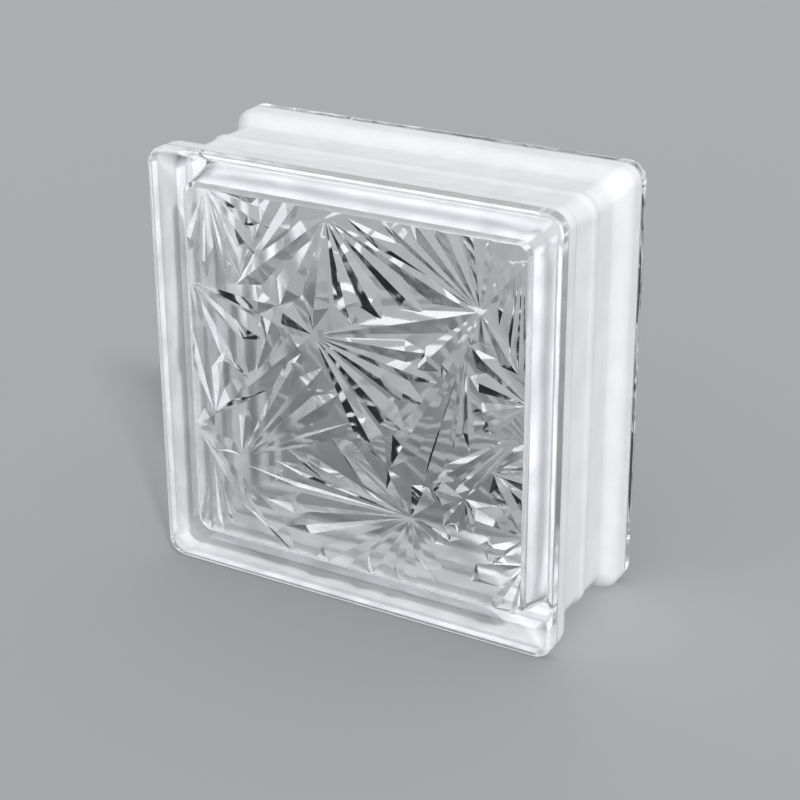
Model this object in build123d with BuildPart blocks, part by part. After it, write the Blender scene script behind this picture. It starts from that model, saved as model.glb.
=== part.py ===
from build123d import *
import math
import os

# Hollow glass block for masonry: two pressed halves fused rim to rim, with coated edges.
# X is the width, Y the depth and Z the height. The origin is at the middle of the foot.
# The front face looks along -Y. All lengths are in millimetres.

# Whole block
width = 190.0
height = 190.0
depth = 80.0
corner_radius = 8.0

# Rim round each face: a clear lip, then a slightly lower land that takes the coating
lip_width = 6.5
lip_step = 0.5
land_width = 5.5
face_edge_radius = 2.2

# Mortar channel round the four edge sides, and the weld bead in the middle of its floor
flank_width = 12.0
channel_depth = 5.2
channel_corner_radius = 8.0
bead_width = 9.0
bead_height = 1.1
flank_steps = 6
bead_steps = 2

# Glass thickness: the face plate, and the side wall where the halves meet
face_thickness = 8.0
wall_thickness = 6.0
wall_draft = 5.0
cavity_corner_radius = 7.0
cavity_floor_bevel = 2.0

# Coating
coat_thickness = 0.3

# Pattern pressed into the inner side of each face plate: fans of faceted grooves. A groove is
# a kite, deepest close to its tip. Its sides fall at groove_slope, down to groove_depth, and
# the tool that leaves it starts tool_lift above the plate.
groove_slope = 0.36
groove_depth = 2.6
groove_shoulder = 0.8
groove_half_width = 7.0
groove_overlap = 1.06
tool_lift = 0.12

# Each fan is its hub and the tips of its grooves in order round the hub, across and up from the
# middle of the face. They are drawn for a field that reaches drawn_half each way.
drawn_half = 81.0
fans = [
    ((-69, 80), [(-79, 50), (-70, 39), (-58, 37), (-53, 43), (-44, 54), (-37, 67), (-40, 82)]),
    ((-55, 40), [(-35, 83), (-19, 86), (-11, 76)]),
    ((-11, 76), [(-56, 39), (-34, 34), (-18, 26), (1, 32), (16, 36), (36, 42), (54, 49)]),
    (
        (59, 49),
        [(42, 15), (30, 18), (-2, 78), (10, 84), (24, 88), (39, 90), (55, 92), (70, 90), (80, 74)],
    ),
    ((77, 80), [(67, 44), (72, 32), (76, 24), (80, 20)]),
    ((59, 49), [(55, 34), (62, 34), (76, 26)]),
    ((-18, 24), [(59, 49), (37, 27), (42, 15), (36, 4), (27, -11), (17, -28)]),
    ((-18, 24), [(-70, -23), (-35, 34)]),
    ((-48, -2), [(-19, 23), (-35, 34)]),
    ((-79, 37), [(-35, 34), (-42, 17), (-49, -4), (-80, 0)]),
    ((-69, -23), [(-80, 26), (-61, 11), (-50, -3)]),
    ((-56, -40), [(-52, -15), (-19, 23), (-12, 12), (-4, 2), (2, -10), (-13, -22)]),
    ((-80, -30), [(-69, -23), (-56, -39), (-28, -82)]),
    ((-71, -42), [(-79, -84), (-73, -84), (-66, -84), (-60, -76)]),
    (
        (28, -48),
        [
            (36, -31),
            (17, -28),
            (-12, -19),
            (-34, -30),
            (-40, -37),
            (-55, -43),
            (-45, -57),
            (-36, -68),
            (-22, -86),
        ],
    ),
    ((28, -48), [(6, -86), (24, -86), (40, -76), (44, -57), (52, -52)]),
    ((53, 33), [(18, -28), (31, -42), (37, -32), (48, -14), (55, -13)]),
    ((81, 14), [(55, 34), (54, 21), (56, 6), (60, -2)]),
    ((80, 4), [(36, -31), (46, -34), (53, -33), (65, -19)]),
    ((65, -19), [(84, 0), (84, -10), (84, -20), (84, -30), (80, -43)]),
    ((81, -44), [(66, -19), (53, -33), (62, -52), (66, -60)]),
    ((53, -33), [(38, -33), (43, -48), (50, -50), (57, -48)]),
    ((81, -56), [(60, -52), (56, -70), (66, -84), (76, -86)]),
]

half_depth = depth / 2
lip_start = half_depth - lip_width
land_start = lip_start - land_width
flank_start = land_start - flank_width
land_inset = lip_step
land_radius = corner_radius - lip_step
seam_inset = channel_depth + wall_thickness
cavity_depth = half_depth - face_thickness
plate_inset = seam_inset + cavity_depth * math.tan(math.radians(wall_draft))
plate_corner_radius = cavity_corner_radius - cavity_floor_bevel

# Depths are measured from the seam towards the front face, so the front plane is the seam
# plane moved along its own normal, and the block's centre is its centre.
seam_plane = Plane(origin=(0, 0, height / 2), x_dir=(1, 0, 0), z_dir=(0, -1, 0))


def outline(from_seam, inset, radius):
    """The block's square outline with rounded corners, at one depth and one inset."""
    with BuildSketch(seam_plane.offset(from_seam)) as square:
        RectangleRounded(width - 2 * inset, height - 2 * inset, radius)
    return square.sketch


def swell(steps, start, end, start_inset, end_inset, start_radius, end_radius):
    """Outlines whose inset eases from one value to the other along a half wave."""
    outlines = []
    for step in range(steps + 1):
        share = step / steps
        ease = (1 - math.cos(math.pi * share)) / 2
        from_seam = start + share * (end - start)
        inset = start_inset + ease * (end_inset - start_inset)
        radius = start_radius + ease * (end_radius - start_radius)
        outlines.append(outline(from_seam, inset, radius))
    return outlines


def edge_form(skin):
    """One half's edge from the seam to the lip as a solid block, grown by the skin's thickness."""
    floor_inset = channel_depth - skin
    floor_radius = channel_corner_radius + skin
    crest_inset = floor_inset - bead_height
    crest_radius = floor_radius + bead_height
    top_inset = land_inset - skin
    top_radius = land_radius + skin
    bead_end = bead_width / 2
    bead = swell(bead_steps, 0, bead_end, crest_inset, floor_inset, crest_radius, floor_radius)
    floor = outline(bead_end, floor_inset, floor_radius)
    flank = swell(flank_steps, flank_start, land_start, floor_inset, top_inset, floor_radius, top_radius)
    land = outline(land_start, top_inset, top_radius)
    with BuildPart() as form:
        loft(bead, ruled=True)
        extrude(floor, amount=flank_start - bead_end)
        loft(flank, ruled=True)
        extrude(land, amount=land_width)
    return form.part


def hollow():
    """The space that the mould's plunger leaves in one half, narrowing towards the face plate."""
    mouth = outline(0, seam_inset, cavity_corner_radius)
    corner = outline(cavity_depth - cavity_floor_bevel, plate_inset, cavity_corner_radius)
    plate = outline(cavity_depth, plate_inset + cavity_floor_bevel, plate_corner_radius)
    with BuildPart() as space:
        loft([mouth, corner], ruled=True)
        loft([corner, plate], ruled=True)
    return space.part


def crest_end(spokes, index, side):
    """Where the crest beside a groove ends: towards the next groove, or beside a gap."""
    spoke = spokes[index]
    last = len(spokes) - 1
    beside = spokes[index + side] if 0 <= index + side <= last else None
    across = spokes[index - side] if 0 <= index - side <= last else None
    turn = spoke.get_signed_angle(beside) if beside else -spoke.get_signed_angle(across)
    shorter = min(spoke.length, beside.length) if beside else spoke.length
    reach = max(groove_shoulder * shorter, spoke.length / 2)
    widest = math.degrees(math.atan(groove_half_width / reach))
    half_turn = max(-widest, min(widest, turn / 2 * groove_overlap))
    return spoke.rotate(Axis.Z, half_turn).normalized() * reach


def groove(hub, spokes, index):
    """The space of one groove: a kite from hub to tip, drawn down to a point near the tip."""
    spoke = spokes[index]
    left = crest_end(spokes, index, -1)
    right = crest_end(spokes, index, 1)
    half_width = (spoke.cross(left).length + spoke.cross(right).length) / spoke.length / 2
    fall = min(groove_depth, groove_slope * half_width)
    mouth = seam_plane.offset(cavity_depth - tool_lift)
    bottom = seam_plane.offset(cavity_depth + fall)
    corners = [mouth.from_local_coords(hub + arm) for arm in (Vector(), left, spoke, right)]
    deepest = bottom.from_local_coords(hub + spoke * groove_shoulder)
    return ConvexPolyhedron([*corners, deepest], mode=Mode.PRIVATE)


def relief():
    """The space of all the grooves of one face, within the flat of its plate."""
    across = (width / 2 - plate_inset) / drawn_half
    up = (height / 2 - plate_inset) / drawn_half
    grooves = []
    for hub, tips in fans:
        centre = Vector(hub[0] * across, hub[1] * up)
        spokes = [Vector(x * across, z * up) - centre for x, z in tips]
        grooves += [groove(centre, spokes, index) for index in range(len(spokes))]
    field = outline(cavity_depth - tool_lift, plate_inset + cavity_floor_bevel, plate_corner_radius)
    with BuildPart() as pattern:
        add(grooves)
        extrude(field, amount=tool_lift + groove_depth, mode=Mode.INTERSECT)
    return pattern.part


def pressed_half():
    """One glass half: face plate, rim and side walls, open at the seam, and the pattern."""
    block = edge_form(0)
    lip = outline(lip_start, 0, corner_radius)
    cavity = hollow()
    pattern = relief()
    with BuildPart() as half:
        add(block)
        extrude(lip, amount=lip_width)
        face = half.faces().sort_by(Axis.Y)[0]
        fillet(face.edges(), radius=face_edge_radius)
        add(cavity, mode=Mode.SUBTRACT)
        add(pattern, mode=Mode.SUBTRACT)
    return half.part


def coating_half():
    """The coating over one half's land, flank, channel floor and bead."""
    outside = edge_form(coat_thickness)
    glass = edge_form(0)
    with BuildPart() as coat:
        add(outside)
        add(glass, mode=Mode.SUBTRACT)
    return coat.part


half_block = pressed_half()
half_coat = coating_half()

with BuildPart() as front_half:
    add(half_block)
front_half.part.label = "front_half"

with BuildPart() as back_half:
    add(half_block, rotation=(0, 0, 180))
back_half.part.label = "back_half"

with BuildPart() as edge_coating:
    add(half_coat)
    add(half_coat, rotation=(0, 0, 180))
edge_coating.part.label = "edge_coating"

os.makedirs("parts", exist_ok=True)
export_step(front_half.part, "parts/front_half.step")
export_step(back_half.part, "parts/back_half.step")
export_step(edge_coating.part, "parts/edge_coating.step")
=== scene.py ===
"""Hollow glass block for masonry: clear pressed glass with a fan relief and coated edges."""

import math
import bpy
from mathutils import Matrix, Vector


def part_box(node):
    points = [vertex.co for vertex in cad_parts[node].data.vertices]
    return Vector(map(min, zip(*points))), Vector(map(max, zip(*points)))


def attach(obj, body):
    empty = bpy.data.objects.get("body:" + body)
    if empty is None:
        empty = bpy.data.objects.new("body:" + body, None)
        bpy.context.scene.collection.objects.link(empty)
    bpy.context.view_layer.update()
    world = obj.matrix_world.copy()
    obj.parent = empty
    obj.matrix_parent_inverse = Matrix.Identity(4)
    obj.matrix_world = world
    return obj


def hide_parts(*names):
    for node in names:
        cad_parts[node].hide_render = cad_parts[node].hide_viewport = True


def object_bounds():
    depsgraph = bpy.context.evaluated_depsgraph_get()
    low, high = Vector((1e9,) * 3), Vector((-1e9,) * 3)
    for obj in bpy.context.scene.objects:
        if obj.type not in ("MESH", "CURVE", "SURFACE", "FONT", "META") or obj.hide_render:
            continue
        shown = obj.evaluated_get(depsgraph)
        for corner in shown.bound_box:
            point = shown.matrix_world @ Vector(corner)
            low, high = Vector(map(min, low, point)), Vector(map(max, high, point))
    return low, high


bl_info = {
    "name": "Glass Block",
    "version": (1, 0, 0),
    "blender": (4, 5, 0),
    "location": "View3D > Sidebar > Glass Block",
    "description": "Dresses the glass block's frame with glass, coating and a plain studio",
    "category": "Add Mesh",
}

import bmesh
import bpy
from bpy.props import FloatProperty, FloatVectorProperty, PointerProperty
from mathutils import Matrix, Vector, noise

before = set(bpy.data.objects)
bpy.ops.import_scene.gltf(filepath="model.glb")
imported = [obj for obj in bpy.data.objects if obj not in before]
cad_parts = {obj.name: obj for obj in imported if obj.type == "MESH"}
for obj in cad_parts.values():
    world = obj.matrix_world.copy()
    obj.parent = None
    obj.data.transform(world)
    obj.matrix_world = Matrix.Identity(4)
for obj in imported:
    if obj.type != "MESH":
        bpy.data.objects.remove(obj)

BOX_LOW, BOX_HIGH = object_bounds()
BOX_CENTRE = (BOX_LOW + BOX_HIGH) / 2
COAT_LOW, COAT_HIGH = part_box("edge_coating")

# Two vertices closer than this are one, and a face this close to a plane lies in it
MERGE_DISTANCE = 2e-6
PLANE_REACH = 2e-5

# The paint runs onto the side of each clear lip and ends there in a ragged line. Its mean and least
# reach, the length between two points of the line, and the depth and length of its slow and fast
# waves. Faces on a lip's side that meet at less than the flat angle are joined before the cut.
PAINT_REACH = 0.0008
PAINT_LEAST = 0.0001
PAINT_STEP = 0.0009
PAINT_WAVES = ((0.0008, 0.006), (0.0006, 0.0018))
FLAT_ANGLE = math.radians(0.1)

# Share of a lamp's light that goes straight through each kind of glass surface, as the renderer
# doesn't follow it through clear glass: first where it leaves the glass, which at the relief is the
# light into the hollow, then where it enters the glass
LIGHT_THROUGH_PLAIN = (0.8, 0.8)
LIGHT_THROUGH_RELIEF = (0.5, 0.08)
LIGHT_THROUGH_WALL = (1.0, 1.0)

# Places of the materials on the glass body, and on the coating
POLISHED, COATED, RELIEF, WALL = range(4)
OPEN_SIDE, GLASS_SIDE = range(2)

# Waviness of the pressed glass: how strongly it shows, then its depth and its noise's scale
WAVE_STRENGTH = 0.25
PLAIN_WAVE = (0.00005, 30.0)
RELIEF_WAVE = (0.0002, 150.0)
WALL_WAVE = (0.0002, 60.0)

# Faint clouds in the coating's white: their noise's scale, where on it they start and end, and the
# brightness that the dull ones keep. Then the strength and depth of the coating's grain.
CLOUD_SCALE = 60.0
CLOUD_RAMP = (0.35, 0.65)
CLOUD_DULL = 0.93
GRAIN_STRENGTH = 0.3
GRAIN_DEPTH = 0.0003

# The noise behind them: the detail of the slow and of the fine one, and the fine one's scale
SLOW_DETAIL = 3.0
GRAIN_DETAIL = 2.0
GRAIN_SCALE = 900.0

# Two faces that meet at a larger angle than this keep a hard edge between them
HARD_EDGE = math.radians(32)
FACET_EDGE = math.radians(4)

# A cavity face belongs to the patterned plate if its normal is this far along the depth
PLATE_FACING = 0.6

# The photograph's camera: its lens, where it stands and where the picture's middle falls
IMAGE_PIXELS = 800
SENSOR_MM = 36.0
FOCAL_PIXELS = 1919.7
PRINCIPAL_PIXELS = (394.7, 368.3)
CAMERA_AZIMUTH = math.radians(30.32)
CAMERA_ELEVATION = math.radians(23.09)
CAMERA_ROLL = math.radians(-0.40)
CAMERA_DISTANCE = 0.8155

# The key light stands a little right of the camera and above it, so the shadow falls behind the block
KEY_DIRECTION = Vector((0.55, -0.55, 0.62))
KEY_SOFTNESS = math.radians(5)

# A weak light from low in front reaches what the key leaves dark inside the rim
LOW_DIRECTION = Vector((0.45, -0.88, 0.15))
LOW_SOFTNESS = math.radians(50)

# The even light falls off from the key's side to this strength behind the block. What glass and
# gloss mirror of the room is white.
FILL_BEHIND = 0.12
FILL_COLOUR = (0.95, 0.97, 1.0, 1.0)
ROOM_COLOUR = (1.0, 1.0, 1.0, 1.0)

# The floor reaches this far to each side
FLOOR_REACH = 3.0
FLOOR_ROUGHNESS = 0.9

# Enough for a ray that the relief and the walls throw about inside the block
MOST_BOUNCES = 24


class GlassSizes(bpy.types.PropertyGroup):
    """Sizes and colours of the glass."""

    tint: FloatVectorProperty(
        name="Tint",
        description="Colour of the clear glass",
        default=(0.985, 0.99, 0.99),
        subtype="COLOR",
    )
    index: FloatProperty(
        name="Refraction",
        description="Index of refraction of soda-lime glass",
        default=1.52,
        min=1.0,
        max=2.0,
    )
    polish: FloatProperty(
        name="Outer Roughness",
        description="Roughness of the fire-polished outer surface",
        default=0.01,
        min=0.0,
        max=1.0,
        subtype="FACTOR",
    )
    pressed: FloatProperty(
        name="Relief Roughness",
        description="Roughness that the mould leaves on the relief inside",
        default=0.07,
        min=0.0,
        max=1.0,
        subtype="FACTOR",
    )
    drawn: FloatProperty(
        name="Wall Roughness",
        description="Roughness of the hollow's side walls, where the plunger is drawn out along them",
        default=0.22,
        min=0.0,
        max=1.0,
        subtype="FACTOR",
    )


class CoatSizes(bpy.types.PropertyGroup):
    """Sizes and colours of the edge coating."""

    colour: FloatVectorProperty(
        name="Colour",
        description="Colour of the white coating",
        default=(0.89, 0.892, 0.902),
        subtype="COLOR",
    )
    roughness: FloatProperty(
        name="Roughness",
        description="Roughness of the dried coating",
        default=0.55,
        min=0.0,
        max=1.0,
        subtype="FACTOR",
    )
    translucency: FloatProperty(
        name="Translucency",
        description="Share of the light on the glass side that comes through the coating",
        default=0.5,
        min=0.0,
        max=1.0,
        subtype="FACTOR",
    )
    light_share: FloatProperty(
        name="Light Passed",
        description="Share of a lamp's light that the thin coating lets through",
        default=1.0,
        min=0.0,
        max=1.0,
        subtype="FACTOR",
    )


class StageSizes(bpy.types.PropertyGroup):
    """Sizes and colours of the plain studio."""

    floor_colour: FloatVectorProperty(
        name="Floor Colour",
        description="Colour of the plain floor",
        default=(0.45, 0.455, 0.465),
        subtype="COLOR",
    )
    world_strength: FloatProperty(
        name="World Strength",
        description="Brightness of the even light on the key's side",
        default=0.56,
        min=0.0,
    )
    key_strength: FloatProperty(
        name="Key Strength",
        description="Strength of the key light",
        default=2.1,
        min=0.0,
    )
    low_strength: FloatProperty(
        name="Low Strength",
        description="Strength of the weak light from low in front",
        default=0.3,
        min=0.0,
    )


def grain_group():
    """Slow unevenness of a surface, as a mask between 0 and 1, and fine grain as a height."""
    group = bpy.data.node_groups.new("surface_variation", "ShaderNodeTree")
    sockets = group.interface
    sockets.new_socket("Vector", in_out="INPUT", socket_type="NodeSocketVector")
    sockets.new_socket("Scale", in_out="INPUT", socket_type="NodeSocketFloat")
    sockets.new_socket("Mask", in_out="OUTPUT", socket_type="NodeSocketFloat")
    sockets.new_socket("Height", in_out="OUTPUT", socket_type="NodeSocketFloat")
    nodes, links = group.nodes, group.links
    entry = nodes.new("NodeGroupInput")
    result = nodes.new("NodeGroupOutput")
    slow = nodes.new("ShaderNodeTexNoise")
    slow.inputs["Detail"].default_value = SLOW_DETAIL
    grain = nodes.new("ShaderNodeTexNoise")
    grain.inputs["Detail"].default_value = GRAIN_DETAIL
    grain.inputs["Scale"].default_value = GRAIN_SCALE
    links.new(entry.outputs["Vector"], slow.inputs["Vector"])
    links.new(entry.outputs["Scale"], slow.inputs["Scale"])
    links.new(entry.outputs["Vector"], grain.inputs["Vector"])
    links.new(slow.outputs["Fac"], result.inputs["Mask"])
    links.new(grain.outputs["Fac"], result.inputs["Height"])
    return group


def surface_variation(nodes, links, scale):
    """Places the shared variation group on Object coordinates."""
    group = bpy.data.node_groups.get("surface_variation") or grain_group()
    place = nodes.new("ShaderNodeTexCoord")
    variation = nodes.new("ShaderNodeGroup")
    variation.node_tree = group
    variation.inputs["Scale"].default_value = scale
    links.new(place.outputs["Object"], variation.inputs["Vector"])
    return variation


def bare_material(name):
    """A new material with its Principled shader and its output."""
    material = bpy.data.materials.new(name)
    material.use_nodes = True
    nodes = material.node_tree.nodes
    return material, nodes, material.node_tree.links, nodes["Principled BSDF"]


def light_passes(nodes, links, shader, shares):
    """Mixes in a clear shader for the lamps' rays, so that a share of them reaches what is behind."""
    leaving, entering = shares
    path = nodes.new("ShaderNodeLightPath")
    part = nodes.new("ShaderNodeMath")
    part.operation = "MULTIPLY"
    part.inputs[1].default_value = leaving
    if entering != leaving:
        side = nodes.new("ShaderNodeNewGeometry")
        choice = nodes.new("ShaderNodeMapRange")
        choice.inputs["To Min"].default_value = leaving
        choice.inputs["To Max"].default_value = entering
        links.new(side.outputs["Backfacing"], choice.inputs["Value"])
        links.new(choice.outputs["Result"], part.inputs[1])
    through = nodes.new("ShaderNodeBsdfTransparent")
    mix = nodes.new("ShaderNodeMixShader")
    links.new(path.outputs["Is Shadow Ray"], part.inputs[0])
    links.new(part.outputs["Value"], mix.inputs["Fac"])
    links.new(shader, mix.inputs[1])
    links.new(through.outputs["BSDF"], mix.inputs[2])
    links.new(mix.outputs["Shader"], nodes["Material Output"].inputs["Surface"])


def glass_material(name, sizes, roughness, wave, shares):
    """Clear pressed glass with a gentle waviness."""
    depth, scale = wave
    material, nodes, links, shader = bare_material(name)
    shader.inputs["Base Color"].default_value = (*sizes.tint, 1.0)
    shader.inputs["Metallic"].default_value = 0.0
    shader.inputs["Transmission Weight"].default_value = 1.0
    shader.inputs["IOR"].default_value = sizes.index
    shader.inputs["Roughness"].default_value = roughness
    variation = surface_variation(nodes, links, scale)
    bump = nodes.new("ShaderNodeBump")
    bump.inputs["Strength"].default_value = WAVE_STRENGTH
    bump.inputs["Distance"].default_value = depth
    links.new(variation.outputs["Mask"], bump.inputs["Height"])
    links.new(bump.outputs["Normal"], shader.inputs["Normal"])
    light_passes(nodes, links, shader.outputs["BSDF"], shares)
    return material


def coating_material(name, sizes, seen_through_glass):
    """The white coating, either its own outer side or the side that bears on the glass."""
    material, nodes, links, shader = bare_material(name)
    variation = surface_variation(nodes, links, CLOUD_SCALE)
    tone = nodes.new("ShaderNodeValToRGB")
    for end, place, brightness in zip(tone.color_ramp.elements, CLOUD_RAMP, (CLOUD_DULL, 1.0)):
        end.position = place
        end.color = (*(channel * brightness for channel in sizes.colour), 1.0)
    links.new(variation.outputs["Mask"], tone.inputs["Fac"])
    links.new(tone.outputs["Color"], shader.inputs["Base Color"])
    shader.inputs["Roughness"].default_value = sizes.roughness
    surface = shader.outputs["BSDF"]
    if seen_through_glass:
        glow = nodes.new("ShaderNodeBsdfTranslucent")
        blend = nodes.new("ShaderNodeMixShader")
        blend.inputs["Fac"].default_value = sizes.translucency
        links.new(tone.outputs["Color"], glow.inputs["Color"])
        links.new(surface, blend.inputs[1])
        links.new(glow.outputs["BSDF"], blend.inputs[2])
        surface = blend.outputs["Shader"]
    else:
        bump = nodes.new("ShaderNodeBump")
        bump.inputs["Strength"].default_value = GRAIN_STRENGTH
        bump.inputs["Distance"].default_value = GRAIN_DEPTH
        links.new(variation.outputs["Height"], bump.inputs["Height"])
        links.new(bump.outputs["Normal"], shader.inputs["Normal"])
    share = 1.0 if seen_through_glass else sizes.light_share
    light_passes(nodes, links, surface, (share, share))
    return material


def merged_copy(node_names):
    """One bmesh holding the named nodes' faces, with coincident vertices merged."""
    mesh = bmesh.new()
    for name in node_names:
        mesh.from_mesh(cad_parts[name].data)
    bmesh.ops.remove_doubles(mesh, verts=mesh.verts, dist=MERGE_DISTANCE)
    return mesh


def lies_in_seam(face):
    """True for a face in the plane where the two halves were fused."""
    return all(abs(vertex.co.y) < PLANE_REACH for vertex in face.verts)


def outer_shell(mesh):
    """The faces joined to the foremost one: the outside, without the cavity's wall."""
    first = min(mesh.faces, key=lambda face: face.calc_center_median().y)
    found, waiting = {first}, [first]
    while waiting:
        face = waiting.pop()
        for edge in face.edges:
            for other in edge.link_faces:
                if other not in found:
                    found.add(other)
                    waiting.append(other)
    return found


def lip_side(face):
    """True for an outer face on the side of a clear lip, beyond the end of the coating."""
    beyond = min(abs(vertex.co.y) for vertex in face.verts) > COAT_HIGH.y - PLANE_REACH
    return beyond and abs(face.normal.y) < PLANE_REACH


def lip_sides(mesh):
    """The faces on the sides of the two clear lips."""
    return [face for face in outer_shell(mesh) if lip_side(face)]


def paint_line(mesh):
    """Cuts the lips' sides at the paint's mean reach, then moves the cut's points to a ragged line."""
    edges = {edge for face in lip_sides(mesh) for edge in face.edges}
    inner = [edge for edge in edges if all(map(lip_side, edge.link_faces))]
    bmesh.ops.dissolve_limit(mesh, angle_limit=FLAT_ANGLE, edges=inner)
    for end in (-COAT_HIGH.y, COAT_HIGH.y):
        mean = end + math.copysign(PAINT_REACH, end)
        band = lip_sides(mesh)
        around = {part for face in band for part in (*face.verts, *face.edges)}
        bmesh.ops.bisect_plane(mesh, geom=[*around, *band], plane_co=(0, mean, 0), plane_no=(0, 1, 0))
    line = [edge for edge in mesh.edges if on_paint_line(edge.verts)]
    longest = max(edge.calc_length() for edge in line)
    straight = [edge for edge in line if edge.calc_length() > longest / 2]
    bmesh.ops.subdivide_edges(mesh, edges=straight, cuts=int(longest / PAINT_STEP))
    for point in [vertex for vertex in mesh.verts if on_paint_line([vertex])]:
        place = point.co.copy()
        reach = PAINT_REACH + sum(depth * noise.noise(place / length) for depth, length in PAINT_WAVES)
        point.co.y = math.copysign(COAT_HIGH.y + max(reach, PAINT_LEAST), place.y)


def on_paint_line(vertices):
    """True for vertices on the lips' sides, at the mean reach of the paint."""
    level = COAT_HIGH.y + PAINT_REACH
    return all(
        abs(abs(vertex.co.y) - level) < MERGE_DISTANCE and all(map(lip_side, vertex.link_faces))
        for vertex in vertices
    )


def bears_coating(face):
    """True for an outer face between the two clear lips, or within the ragged line on a lip."""
    return min(abs(vertex.co.y) for vertex in face.verts) < COAT_HIGH.y + PLANE_REACH


def faces_outwards(face):
    """True for a face that looks away from the block's middle line, or along it."""
    away = face.calc_center_median() - BOX_CENTRE
    return face.normal.x * away.x + face.normal.z * away.z > -PLANE_REACH


def set_edges(mesh, facets):
    """Keeps the facets' edges hard, and shades the gentler bends of the rest as curves."""
    for face in mesh.faces:
        face.smooth = True
    for edge in mesh.edges:
        limit = FACET_EDGE if any(face in facets for face in edge.link_faces) else HARD_EDGE
        edge.smooth = edge.is_manifold and edge.calc_face_angle() < limit


def new_piece(name, mesh, materials, replaced):
    """Makes a bmesh into a piece of the object that stands for the replaced nodes."""
    data = bpy.data.meshes.new(name)
    mesh.to_mesh(data)
    mesh.free()
    piece = bpy.data.objects.new(name, data)
    bpy.context.scene.collection.objects.link(piece)
    for material in materials:
        data.materials.append(material)
    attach(piece, "root")
    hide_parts(*replaced)
    flat_kept = piece.modifiers.new("weighted_normal", "WEIGHTED_NORMAL")
    flat_kept.keep_sharp = True
    return piece


class GLASSBLOCK_OT_glass(bpy.types.Operator):
    """Make the fused glass body from the two pressed halves"""

    bl_idname = "glassblock.glass"
    bl_label = "Glass Body"

    def execute(self, context):
        glass = context.scene.glassblock_glass
        coat = context.scene.glassblock_coat
        mesh = merged_copy(("front_half", "back_half"))
        seam = [face for face in mesh.faces if lies_in_seam(face)]
        bmesh.ops.delete(mesh, geom=seam, context="FACES")
        paint_line(mesh)
        outside = outer_shell(mesh)
        for face in mesh.faces:
            if face in outside:
                face.material_index = COATED if bears_coating(face) else POLISHED
            else:
                face.material_index = RELIEF if abs(face.normal.y) > PLATE_FACING else WALL
        set_edges(mesh, {face for face in mesh.faces if face.material_index == RELIEF})
        materials = (
            glass_material("polished_glass", glass, glass.polish, PLAIN_WAVE, LIGHT_THROUGH_PLAIN),
            coating_material("coating_behind_glass", coat, True),
            glass_material("relief_glass", glass, glass.pressed, RELIEF_WAVE, LIGHT_THROUGH_RELIEF),
            glass_material("wall_glass", glass, glass.drawn, WALL_WAVE, LIGHT_THROUGH_WALL),
        )
        new_piece("glass_body", mesh, materials, ("front_half", "back_half"))
        return {"FINISHED"}


class GLASSBLOCK_OT_coating(bpy.types.Operator):
    """Finish the white coating on the block's edges"""

    bl_idname = "glassblock.coating"
    bl_label = "Edge Coating"

    def execute(self, context):
        coat = context.scene.glassblock_coat
        mesh = merged_copy(("edge_coating",))
        for face in mesh.faces:
            face.material_index = OPEN_SIDE if faces_outwards(face) else GLASS_SIDE
        set_edges(mesh, set())
        materials = (
            coating_material("sprayed_coating", coat, False),
            bpy.data.materials["coating_behind_glass"],
        )
        new_piece("white_coat", mesh, materials, ("edge_coating",))
        return {"FINISHED"}


def stage_material(colour):
    """Matt floor of one even colour."""
    material, *_, shader = bare_material("studio_floor")
    shader.inputs["Base Color"].default_value = (*colour, 1.0)
    shader.inputs["Roughness"].default_value = FLOOR_ROUGHNESS
    return material


def studio_floor(colour):
    """The plain floor under the block."""
    mesh = bmesh.new()
    bmesh.ops.create_grid(mesh, x_segments=1, y_segments=1, size=FLOOR_REACH)
    data = bpy.data.meshes.new("studio_floor")
    mesh.to_mesh(data)
    mesh.free()
    data.materials.append(stage_material(colour))
    floor = bpy.data.objects.new("studio_floor", data)
    bpy.context.scene.collection.objects.link(floor)


def distant_lamp(name, direction, strength, softness):
    """A soft distant light that shines from the given direction onto the block."""
    data = bpy.data.lights.new(name, "SUN")
    data.energy = strength
    data.angle = softness
    lamp = bpy.data.objects.new(name, data)
    bpy.context.scene.collection.objects.link(lamp)
    lamp.location = BOX_CENTRE + direction
    lamp.rotation_mode = "QUATERNION"
    lamp.rotation_quaternion = (-direction).to_track_quat("-Z", "Y")


def studio_world(strength):
    """Fill light that is strongest on the key's side, and a white room where glass or gloss shows it."""
    world = bpy.data.worlds.new("studio_world")
    bpy.context.scene.world = world
    world.use_nodes = True
    nodes, links = world.node_tree.nodes, world.node_tree.links
    fill = nodes["Background"]
    fill.inputs["Color"].default_value = FILL_COLOUR
    place = nodes.new("ShaderNodeTexCoord")
    towards = nodes.new("ShaderNodeVectorMath")
    towards.operation = "DOT_PRODUCT"
    towards.inputs[1].default_value = KEY_DIRECTION.normalized()
    spread = nodes.new("ShaderNodeMapRange")
    spread.inputs["From Min"].default_value = -1.0
    spread.inputs["From Max"].default_value = 1.0
    spread.inputs["To Min"].default_value = FILL_BEHIND
    spread.inputs["To Max"].default_value = strength
    links.new(place.outputs["Generated"], towards.inputs[0])
    links.new(towards.outputs["Value"], spread.inputs["Value"])
    links.new(spread.outputs["Result"], fill.inputs["Strength"])
    room = nodes.new("ShaderNodeBackground")
    room.inputs["Color"].default_value = ROOM_COLOUR
    path = nodes.new("ShaderNodeLightPath")
    shown = path.outputs["Is Camera Ray"]
    for kind in ("Is Glossy Ray", "Is Transmission Ray"):
        either = nodes.new("ShaderNodeMath")
        either.operation = "MAXIMUM"
        links.new(shown, either.inputs[0])
        links.new(path.outputs[kind], either.inputs[1])
        shown = either.outputs["Value"]
    mix = nodes.new("ShaderNodeMixShader")
    links.new(shown, mix.inputs["Fac"])
    links.new(fill.outputs["Background"], mix.inputs[1])
    links.new(room.outputs["Background"], mix.inputs[2])
    links.new(mix.outputs["Shader"], nodes["World Output"].inputs["Surface"])


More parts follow.
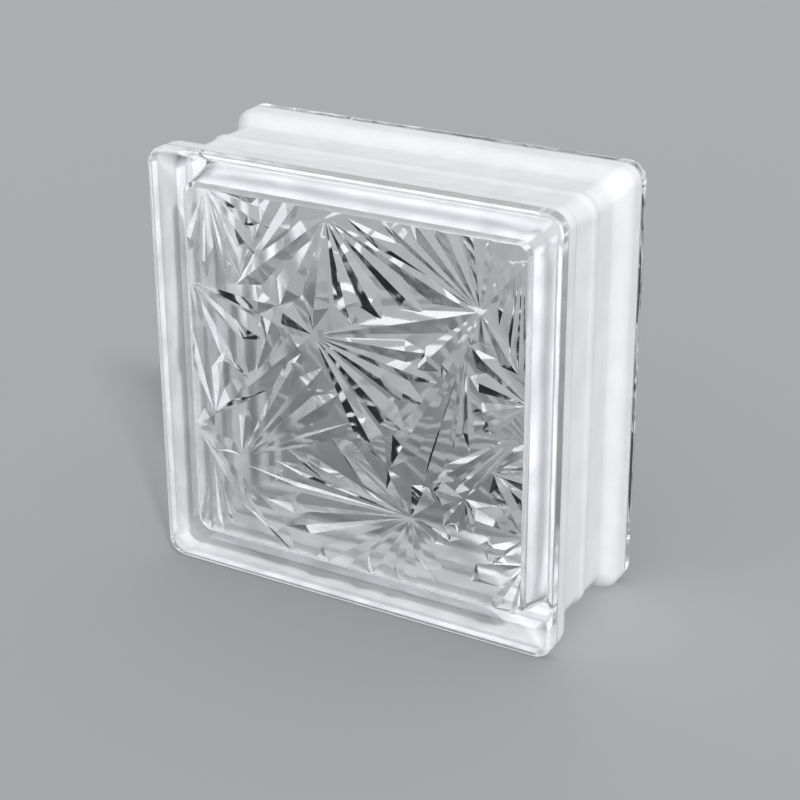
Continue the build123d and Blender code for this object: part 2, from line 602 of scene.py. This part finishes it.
def photograph_camera():
    """The camera at the photograph's angle, lens and framing."""
    data = bpy.data.cameras.new("camera")
    data.sensor_width = SENSOR_MM
    data.lens = FOCAL_PIXELS * SENSOR_MM / IMAGE_PIXELS
    data.shift_x = (IMAGE_PIXELS / 2 - PRINCIPAL_PIXELS[0]) / IMAGE_PIXELS
    data.shift_y = (PRINCIPAL_PIXELS[1] - IMAGE_PIXELS / 2) / IMAGE_PIXELS
    data.dof.use_dof = False
    camera = bpy.data.objects.new("camera", data)
    bpy.context.scene.collection.objects.link(camera)
    level = math.cos(CAMERA_ELEVATION)
    back = Vector(
        (
            math.sin(CAMERA_AZIMUTH) * level,
            -math.cos(CAMERA_AZIMUTH) * level,
            math.sin(CAMERA_ELEVATION),
        )
    )
    right = (-back).cross(Vector((0, 0, 1))).normalized()
    up = right.cross(-back)
    turned_right = right * math.cos(CAMERA_ROLL) + up * math.sin(CAMERA_ROLL)
    turned_up = up * math.cos(CAMERA_ROLL) - right * math.sin(CAMERA_ROLL)
    axes = Matrix((turned_right, turned_up, back)).transposed().to_4x4()
    camera.matrix_world = Matrix.Translation(BOX_CENTRE + back * CAMERA_DISTANCE) @ axes
    bpy.context.scene.camera = camera


class GLASSBLOCK_OT_stage(bpy.types.Operator):
    """Set the floor, the room's light, the lamps and the camera"""

    bl_idname = "glassblock.stage"
    bl_label = "Studio"

    def execute(self, context):
        scene = context.scene
        light = scene.glassblock_stage
        studio_floor(light.floor_colour)
        studio_world(light.world_strength)
        distant_lamp("key_light", KEY_DIRECTION, light.key_strength, KEY_SOFTNESS)
        distant_lamp("low_light", LOW_DIRECTION, light.low_strength, LOW_SOFTNESS)
        photograph_camera()
        scene.view_settings.view_transform = "Standard"
        scene.cycles.caustics_refractive = False
        scene.cycles.caustics_reflective = False
        scene.cycles.max_bounces = MOST_BOUNCES
        scene.cycles.transmission_bounces = MOST_BOUNCES
        scene.cycles.transparent_max_bounces = MOST_BOUNCES
        return {"FINISHED"}


class GLASSBLOCK_PT_panel(bpy.types.Panel):
    """Lists the block's operators and sizes in the sidebar"""

    bl_idname = "GLASSBLOCK_PT_panel"
    bl_label = "Glass Block"
    bl_space_type = "VIEW_3D"
    bl_region_type = "UI"
    bl_category = "Glass Block"

    def draw(self, context):
        layout = self.layout
        scene = context.scene
        for operator in OPERATORS:
            layout.operator(operator.bl_idname)
        for group in (scene.glassblock_glass, scene.glassblock_coat, scene.glassblock_stage):
            column = layout.column()
            for name in group.__annotations__:
                column.prop(group, name)


OPERATORS = (GLASSBLOCK_OT_glass, GLASSBLOCK_OT_coating, GLASSBLOCK_OT_stage)
GROUPS = {
    "glassblock_glass": GlassSizes,
    "glassblock_coat": CoatSizes,
    "glassblock_stage": StageSizes,
}


def register():
    for name, group in GROUPS.items():
        bpy.utils.register_class(group)
        setattr(bpy.types.Scene, name, PointerProperty(type=group))
    for operator in OPERATORS:
        bpy.utils.register_class(operator)
    bpy.utils.register_class(GLASSBLOCK_PT_panel)


def unregister():
    bpy.utils.unregister_class(GLASSBLOCK_PT_panel)
    for operator in reversed(OPERATORS):
        bpy.utils.unregister_class(operator)
    for name, group in GROUPS.items():
        delattr(bpy.types.Scene, name)
        bpy.utils.unregister_class(group)


def main():
    register()
    bpy.ops.glassblock.glass()
    bpy.ops.glassblock.coating()
    bpy.ops.glassblock.stage()


if __name__ == "__main__":
    main()
